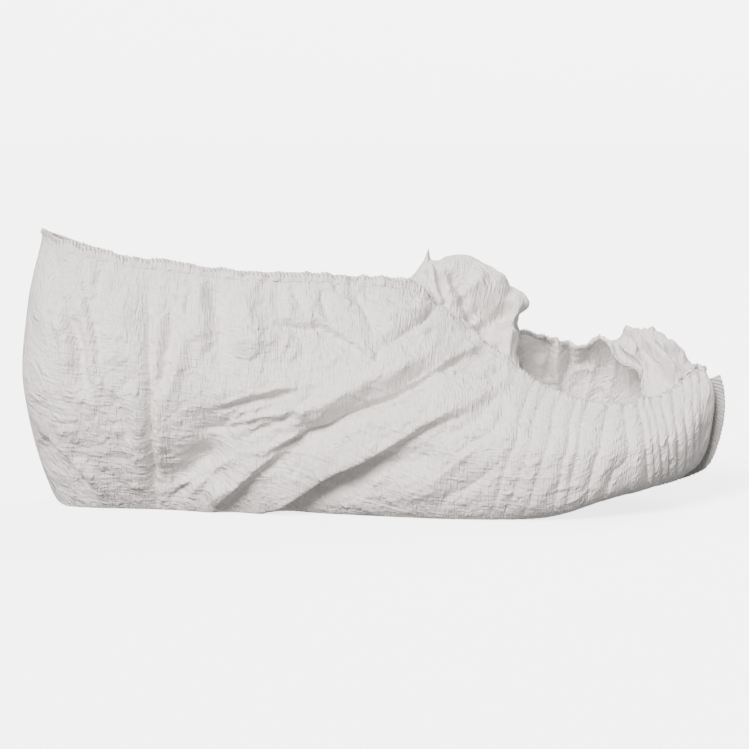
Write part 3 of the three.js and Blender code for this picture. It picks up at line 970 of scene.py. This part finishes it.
def grid_object(name, grid, flat, flip, shift, material):
    """A smooth mesh of quads over a grid of points, with its flat coordinates as the UV map."""
    columns, rows = grid.shape[:2]
    index = np.arange(columns * rows).reshape(columns, rows)
    a, b, c, d = index[:-1, :-1], index[1:, :-1], index[1:, 1:], index[:-1, 1:]
    quads = np.stack([a, b, c, d] if flip else [a, d, c, b], axis=-1).reshape(-1, 4)
    mesh = bpy.data.meshes.new(name)
    points = (grid.reshape(-1, 3) + shift) / 1000
    mesh.from_pydata(points.tolist(), [], quads.tolist())
    mesh.shade_smooth()
    layer = mesh.uv_layers.new(name="flat")
    loops = np.zeros(len(mesh.loops), int)
    mesh.loops.foreach_get("vertex_index", loops)
    layer.data.foreach_set("uv", (flat.reshape(-1, 2)[loops] / 1000).ravel())
    obj = bpy.data.objects.new(name, mesh)
    bpy.context.scene.collection.objects.link(obj)
    mesh.materials.append(material)
    return obj


def panel_object(name, side, shift, material):
    """A panel's object, and the grid of its points."""
    grid, flat = plain_grid(side)
    lengths = walked(grid[:, BELLY_ROW])
    grid = folded(grid, flat, side)
    flat[..., 0] = lengths[:, None]
    grid[[0, -1], :, 1] = 0
    grid[:, 0, 1] = 0
    on_floor(grid)
    obj = grid_object(name, grid, flat, side == "right", shift, material)
    return obj, grid


def closed_tube(name, rings, far, flip, shift, material):
    """An object over rings of points, each ring closed; far is the distance along them."""
    rings = np.concatenate([rings, rings[:, :1]], axis=1)
    round_it = np.linspace(0, RING_LENGTH, rings.shape[1])
    flat = np.stack(np.broadcast_arrays(far[:, None], round_it[None]), axis=-1)
    return grid_object(name, rings, flat, flip, shift, material)


def thread_object(name, path, thickness, shift, material):
    """A round thread along a row of points."""
    run = np.gradient(path, axis=0)
    run /= np.maximum(np.linalg.norm(run, axis=1)[:, None], 1e-9)
    aside = np.cross(run, ASKEW)
    aside /= np.linalg.norm(aside, axis=1)[:, None]
    other = np.cross(run, aside)
    turn = np.linspace(0, 2 * np.pi, THREAD_SIDES + 1)
    ring = aside[:, None] * np.cos(turn)[:, None] + other[:, None] * np.sin(turn)[:, None]
    grid = path[:, None] + thickness / 2 * ring
    flat = np.stack(np.broadcast_arrays(walked(path)[:, None], turn[None]), axis=-1)
    return grid_object(name, grid, flat, False, shift, material)


def softened(wave):
    """A wave from -1 to 1 with broader crests."""
    return np.sign(wave) * np.abs(wave) ** CORNER_POWER


def outline(count):
    """A rounded outline's corners: (share up it from 0 to 1, share out from -1 to 1) of each."""
    turn = np.linspace(0, 2 * np.pi, count, endpoint=False)
    return zip(0.5 - 0.5 * softened(np.cos(turn)), softened(np.sin(turn)))


def laps(length, pitch, steps):
    """A thread that laps an edge, step by step: (distance along it, angle turned)."""
    count = int(length / pitch)
    phase = np.linspace(0, count, count * steps)
    return length * phase / count, 2 * np.pi * phase


def face_to_face(swing):
    """From 1 on one face of what a thread laps to -1 on the other, and flat on both."""
    return np.clip(3 * np.sin(swing), -1, 1)


# ---- The hem ----


def hem_strip(right, left):
    """The hem's sheet, from the heel round by the right side and back: (strip, distances)."""
    rows = slice(-HEM_ROWS - 1, None)
    strip = np.concatenate([right[:-1, rows], left[:0:-1, rows]])
    far = walked(strip[:, 0])
    at = np.linspace(0, far[-1], HEM_STEPS)
    return np.stack([resampled(strip[:, r], far, at) for r in range(HEM_ROWS + 1)], axis=1), at


def strip_frame(strip):
    """At each column of a strip: the way up it, and the way it faces."""
    up = strip[:, -1] - strip[:, 0]
    up /= np.linalg.norm(up, axis=1)[:, None]
    run = np.gradient(strip[:, strip.shape[1] // 2], axis=0)
    facing = np.cross(run, up)
    return up, facing / np.linalg.norm(facing, axis=1)[:, None]


def puckers(at):
    """The hem's small puckers, from 0 to 1."""
    return np.abs(np.sin(np.pi * (at / PUCKER_PITCH + pattern("pucker drift", at))))


def hem_crest(at):
    """How far the hem's gathered top edge stands above or below its mean."""
    return pattern("ragged edge", at, RAGGED_ROW) + PUCKER_RISE * (puckers(at) - 0.5)


def hem_rings(strip, at):
    """The gathered band round the elastic: flush at its foot, thick and bumpy at its top."""
    up, facing = strip_frame(strip)
    puckered = puckers(at) * (PUCKER_SIZE + pattern("pucker sizes", at, PUCKER_ROW))
    ragged = hem_crest(at)
    rings = []
    for share, out in outline(HEM_SIDES):
        place = share * HEM_ROWS
        row = min(int(place), HEM_ROWS - 1)
        centre = strip[:, row] * (row + 1 - place) + strip[:, row + 1] * (place - row)
        full = HEM_FOOT_SHARE + (1 - HEM_FOOT_SHARE) * share**HEM_GROWTH
        swell = PUCKER_SWELL * share * (puckered - PUCKER_MEAN)
        thick = out * HEM_THICKNESS / 2 * (full + swell)
        crest = ragged * smooth(share, *HEM_EDGE_STARTS)
        rings.append(centre + facing * thick[:, None] + up * crest[:, None])
    return np.stack(rings, axis=1)


def hem_thread_path(strip, at):
    """The overlock thread's path: over the hem's top edge and back, again and again."""
    up, facing = strip_frame(strip)
    along, swing = laps(at[-1], HEM_PITCH, HEM_LAP_STEPS)
    depth = HEM_BITE * (0.5 - 0.5 * np.cos(swing))
    height = hem_crest(along) - HEM_THREAD_SINK - depth
    side = face_to_face(swing) * (HEM_THICKNESS / 2 + HEM_THREAD / 2)
    base = resampled(strip[:, -1], at, along)
    lifted = resampled(up, at, along) * height[:, None]
    return base + lifted + resampled(facing, at, along) * side[:, None]


# ---- The toe seam ----


def seam_line(grid):
    """The joined edge that the seam follows, from the toe's top back along the keel."""
    front = grid[-1, :-SEAM_TOP_ROWS][::-1]
    keel = grid[SEAM_BACK_COLUMN:-1, 0][::-1]
    line = np.concatenate([front, keel])
    line[:, 1] = 0
    far = walked(line)
    return resampled(line, far, np.linspace(0, far[-1], SEAM_STEPS))


def seam_frame(line):
    """At each point of the seam: its middle, and its width and thickness directions."""
    run = np.gradient(line, axis=0)
    run /= np.linalg.norm(run, axis=1)[:, None]
    out = np.stack([-run[:, 2], np.zeros(len(run)), run[:, 0]], axis=1)
    lean = np.pi / 2 * (1 - smooth(line[:, 0], *SEAM_TURN))
    cos, sin = np.cos(lean)[:, None], np.sin(lean)[:, None]
    half_depth = SEAM_WIDTH / 2 * cos + SEAM_THICKNESS / 2 * sin
    middle = line + out * (half_depth + SEAM_STANDOFF + SEAM_DROP * sin)
    sideways = np.array([0.0, 1.0, 0.0])
    return middle, out * cos - sideways * sin, out * sin + sideways * cos


def seam_rings(line):
    """The seam's two layers of sheet, a little wavy."""
    middle, wide, thick = seam_frame(line)
    far = walked(line)
    (rise, turn), (widening, width_turn) = FIN_RIPPLE, FIN_WIDTH_RIPPLE
    wave = pattern("fin waves", far) + rise * np.sin(far * turn)
    rings = []
    for share, out in outline(SEAM_SIDES):
        across = (share - 0.5) * SEAM_WIDTH * (1 + widening * np.sin(far * width_turn))
        aside = out * SEAM_THICKNESS / 2 + wave * share
        rings.append(middle + wide * across[:, None] + thick * aside[:, None])
    return np.stack(rings, axis=1)


def seam_thread_path(line):
    """The overlock thread's path: slanting down one face of the seam and up the other."""
    far = walked(line)
    place, swing = laps(far[-1], SEAM_PITCH, SEAM_LAP_STEPS)
    along = place + SEAM_THREAD_SLANT * np.cos(swing)
    middle, wide, thick = [resampled(rows, far, along) for rows in seam_frame(line)]
    reach = SEAM_THREAD_REACH * SEAM_WIDTH * np.cos(swing) - SEAM_STANDOFF
    side = face_to_face(swing) * (SEAM_THICKNESS / 2 + SEAM_THREAD_OUT)
    return middle + wide * reach[:, None] + thick * side[:, None]


# ---- Materials ----


def new_material(name, colour, roughness):
    """A material with its Principled shader, and the tree to add to."""
    material = bpy.data.materials.new(name)
    material.use_nodes = True
    tree = material.node_tree
    shader = tree.nodes["Principled BSDF"]
    shader.inputs["Base Color"].default_value = (*colour, 1)
    shader.inputs["Roughness"].default_value = roughness
    return material, tree, shader


def stretched(tree, across, along):
    """The flat coordinates of a sheet, multiplied by how often a pattern repeats in a metre."""
    flat = tree.nodes.new("ShaderNodeUVMap")
    flat.uv_map = "flat"
    scale = tree.nodes.new("ShaderNodeVectorMath")
    scale.operation = "MULTIPLY"
    scale.inputs[1].default_value = (across, along, 1)
    tree.links.new(flat.outputs["UV"], scale.inputs[0])
    return scale.outputs[0]


def noise(tree, place, detail, kind="FBM", distortion=0.0):
    """A noise pattern at some coordinates."""
    node = tree.nodes.new("ShaderNodeTexNoise")
    node.noise_type = kind
    node.inputs["Scale"].default_value = 1
    node.inputs["Detail"].default_value = detail
    node.inputs["Distortion"].default_value = distortion
    tree.links.new(place, node.inputs["Vector"])
    return node.outputs["Fac"]


def ridges(tree, place, detail, distortion):
    """A noise pattern of sharp ridges at some coordinates."""
    return noise(tree, place, detail, "RIDGED_MULTIFRACTAL", distortion)


def weighed(tree, parts):
    """The sum of several patterns, each times its weight."""
    total = None
    for value, weight in parts:
        step = tree.nodes.new("ShaderNodeMath")
        step.operation = "MULTIPLY_ADD"
        step.inputs[1].default_value = weight
        step.inputs[2].default_value = 0
        tree.links.new(value, step.inputs[0])
        if total is not None:
            tree.links.new(total, step.inputs[2])
        total = step.outputs[0]
    return total


def ramp(tree, value, low, high, dark, light):
    """A colour between dark and light, as a value goes from low to high."""
    node = tree.nodes.new("ShaderNodeValToRGB")
    for stop, place, colour in zip(node.color_ramp.elements, (low, high), (dark, light)):
        stop.position = place
        stop.color = (*colour, 1)
    tree.links.new(value, node.inputs["Fac"])
    return node.outputs["Color"]


def ranged(tree, value, old, new):
    """A value moved from one range to another."""
    node = tree.nodes.new("ShaderNodeMapRange")
    node.inputs["From Min"].default_value = old[0]
    node.inputs["From Max"].default_value = old[1]
    node.inputs["To Min"].default_value = new[0]
    node.inputs["To Max"].default_value = new[1]
    tree.links.new(value, node.inputs["Value"])
    return node.outputs["Result"]


def bump(tree, shader, value, height, strength):
    """Lets a pattern stand out by a height in metres."""
    node = tree.nodes.new("ShaderNodeBump")
    node.inputs["Distance"].default_value = height
    node.inputs["Strength"].default_value = strength
    tree.links.new(value, node.inputs["Height"])
    tree.links.new(node.outputs["Normal"], shader.inputs["Normal"])
    return node.outputs["Normal"]


def add_glow(material, tree, shader, normal):
    """Lets a share of the light through a material, spread evenly."""
    glow = tree.nodes.new("ShaderNodeBsdfTranslucent")
    glow.inputs["Color"].default_value = (*SHEET_GLOW, 1)
    tree.links.new(normal, glow.inputs["Normal"])
    mix = tree.nodes.new("ShaderNodeMixShader")
    mix.inputs["Fac"].default_value = GLOW_SHARE
    tree.links.new(shader.outputs["BSDF"], mix.inputs[1])
    tree.links.new(glow.outputs["BSDF"], mix.inputs[2])
    tree.links.new(mix.outputs["Shader"], tree.nodes["Material Output"].inputs["Surface"])


def sheet_material():
    """Flash-spun plastic sheet: a linen emboss, a web of fine fibres and small dry wrinkles."""
    material, tree, shader = new_material("sheet", SHEET_COLOUR, 0.6)
    upright = noise(tree, stretched(tree, 1400, 170), 2)
    level = noise(tree, stretched(tree, 120, 850), 2)
    fibres = ridges(tree, stretched(tree, 300, 300), 6, 0.6)
    wrinkled = ridges(tree, stretched(tree, 70, 60), 3, 0.3)
    crumpled = ridges(tree, stretched(tree, 190, 170), 3, 0.4)
    emboss = [(upright, 0.42), (level, 0.28)]
    relief = weighed(tree, emboss + [(fibres, 0.4), (wrinkled, 1.0), (crumpled, 0.6)])
    normal = bump(tree, shader, relief, SHEET_RELIEF, 1.0)
    web = weighed(tree, [(fibres, 0.25), (upright, 0.35), (level, 0.25)])
    colour = ramp(tree, web, 0.25, 0.7, SHEET_DARK, SHEET_LIGHT)
    tree.links.new(colour, shader.inputs["Base Color"])
    tree.links.new(ranged(tree, fibres, (0, 1), SHEET_ROUGHNESS), shader.inputs["Roughness"])
    shader.inputs["Specular IOR Level"].default_value = 0.35
    shader.inputs["Sheen Weight"].default_value = 0.08
    add_glow(material, tree, shader, normal)
    return material


def thread_material(name, colour):
    """Spun polyester thread, twisted round itself."""
    material, tree, shader = new_material(name, colour, 0.75)
    twist = noise(tree, stretched(tree, 2600, 900), 2)
    bump(tree, shader, twist, YARN_RELIEF, 0.6)
    dark = [0.85 * part for part in colour]
    light = [1.08 * part for part in colour]
    tree.links.new(ramp(tree, twist, 0.3, 0.7, dark, light), shader.inputs["Base Color"])
    shader.inputs["Sheen Weight"].default_value = 0.1
    return material


# ---- The scene ----


def add_camera():
    """A long lens, level with the cover's side and tilted down a little."""
    target = Vector(CAMERA_TARGET)
    distance = FRAME_WIDTH * CAMERA_LENS / CAMERA_SENSOR
    tilt = math.radians(CAMERA_TILT)
    data = bpy.data.cameras.new("camera")
    data.lens = CAMERA_LENS
    data.sensor_width = CAMERA_SENSOR
    camera = bpy.data.objects.new("camera", data)
    camera.location = target + Vector((0, -math.cos(tilt), math.sin(tilt))) * distance
    camera.rotation_euler = (target - camera.location).to_track_quat("-Z", "Y").to_euler()
    bpy.context.scene.collection.objects.link(camera)
    bpy.context.scene.camera = camera


def floor_mesh():
    """A round plate whose rim turns up, in rings round a middle point."""
    points = [(0, 0, 0)]
    for bend in np.linspace(0, math.pi / 2, RIM_STEPS):
        radius = FLOOR_RADIUS + RIM_RADIUS * math.sin(bend)
        height = RIM_RADIUS - RIM_RADIUS * math.cos(bend)
        for k in range(FLOOR_SIDES):
            turn = 2 * math.pi * k / FLOOR_SIDES
            points.append((radius * math.cos(turn), radius * math.sin(turn), height))
    faces = [(0, 1 + k, 1 + (k + 1) % FLOOR_SIDES) for k in range(FLOOR_SIDES)]
    for ring in range(RIM_STEPS - 1):
        first = 1 + ring * FLOOR_SIDES
        for k in range(FLOOR_SIDES):
            a, b = first + k, first + (k + 1) % FLOOR_SIDES
            faces.append((a, a + FLOOR_SIDES, b + FLOOR_SIDES, b))
    mesh = bpy.data.meshes.new("floor")
    mesh.from_pydata(points, [], faces)
    mesh.shade_smooth()
    return mesh


def add_floor():
    """A pale, even ground on every side, whose own glow doesn't light the cover."""
    material, _, shader = new_material("floor", FLOOR_COLOUR, 0.9)
    shader.inputs["Emission Color"].default_value = (1, 1, 1, 1)
    shader.inputs["Emission Strength"].default_value = FLOOR_GLOW
    mesh = floor_mesh()
    mesh.materials.append(material)
    floor = bpy.data.objects.new("floor", mesh)
    floor.visible_diffuse = False
    floor.visible_glossy = False
    floor.visible_transmission = False
    bpy.context.scene.collection.objects.link(floor)


def add_sky():
    """A white sky that fades towards the ground."""
    world = bpy.data.worlds.new("world")
    bpy.context.scene.world = world
    world.use_nodes = True
    tree = world.node_tree
    background = tree.nodes["Background"]
    place = tree.nodes.new("ShaderNodeTexCoord")
    split = tree.nodes.new("ShaderNodeSeparateXYZ")
    tree.links.new(place.outputs["Generated"], split.inputs[0])
    strength = ranged(tree, split.outputs["Z"], SKY_HEIGHTS, SKY_STRENGTHS)
    tree.links.new(strength, background.inputs["Strength"])
    background.inputs["Color"].default_value = (1, 1, 1, 1)


def add_lamps():
    """The lamps, each so broad that its shadows are soft."""
    for name, energy, breadth, way, colour in LAMPS:
        sun = bpy.data.lights.new(name, "SUN")
        sun.energy = energy
        sun.color = colour
        sun.angle = math.radians(breadth)
        lamp = bpy.data.objects.new(name, sun)
        lamp.rotation_euler = Vector(way).to_track_quat("-Z", "Y").to_euler()
        bpy.context.scene.collection.objects.link(lamp)


def own(obj, node, slot):
    """Makes a piece part of the cover, in place of a CAD node if one is named."""
    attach(obj, "root")
    if node:
        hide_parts(node)


def hem_pieces(grids, shift, sheet, thread):
    """The hem's gathered band, and the overlock thread over its edge, darker with painted shade.
    """
    strip, at = hem_strip(grids["right"], grids["left"])
    band = closed_tube("hem_band", hem_rings(strip, at), at, True, shift, sheet)
    own(band, "elastic_hem", "hem")
    wraps = thread_object("hem_thread", hem_thread_path(strip, at), HEM_THREAD, shift, thread)
    own(wraps, None, "hem")
    return [band, wraps]


def seam_pieces(grid, shift, material):
    """The fin of the toe seam, and the overlock thread round it, both darker with painted shade.
    """
    line = seam_line(grid)
    fin = closed_tube("seam_fin", seam_rings(line), walked(line), False, shift, material)
    own(fin, "toe_seam", "seam")
    wraps = thread_object("seam_thread", seam_thread_path(line), SEAM_THREAD, shift, material)
    own(wraps, None, "seam")
    return [fin, wraps]


def frame_shift():
    """How far the frame's X lies from the tables', in millimetres, as a vector."""
    plain, _ = plain_grid("right")
    return np.array([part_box("right_panel")[0].x * 1000 - plain[..., 0].min(), 0, 0])


def main():
    """Builds the scene round the frame."""
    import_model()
    add_camera()
    add_floor()
    add_sky()
    add_lamps()
    sheet = sheet_material()
    hem_yarn_and_shade = thread_material("hem_yarn_and_shade", HEM_YARN_AND_SHADE)
    seam_yarn_and_shade = thread_material("seam_yarn_and_shade", SEAM_YARN_AND_SHADE)
    shift = frame_shift()
    panels, grids = {}, {}
    for side in ("right", "left"):
        panels[side], grids[side] = panel_object(side + "_sheet", side, shift, sheet)
        own(panels[side], side + "_panel", "sheet")
    hem = hem_pieces(grids, shift, sheet, hem_yarn_and_shade)
    seam = seam_pieces(grids["right"], shift, seam_yarn_and_shade)


main()
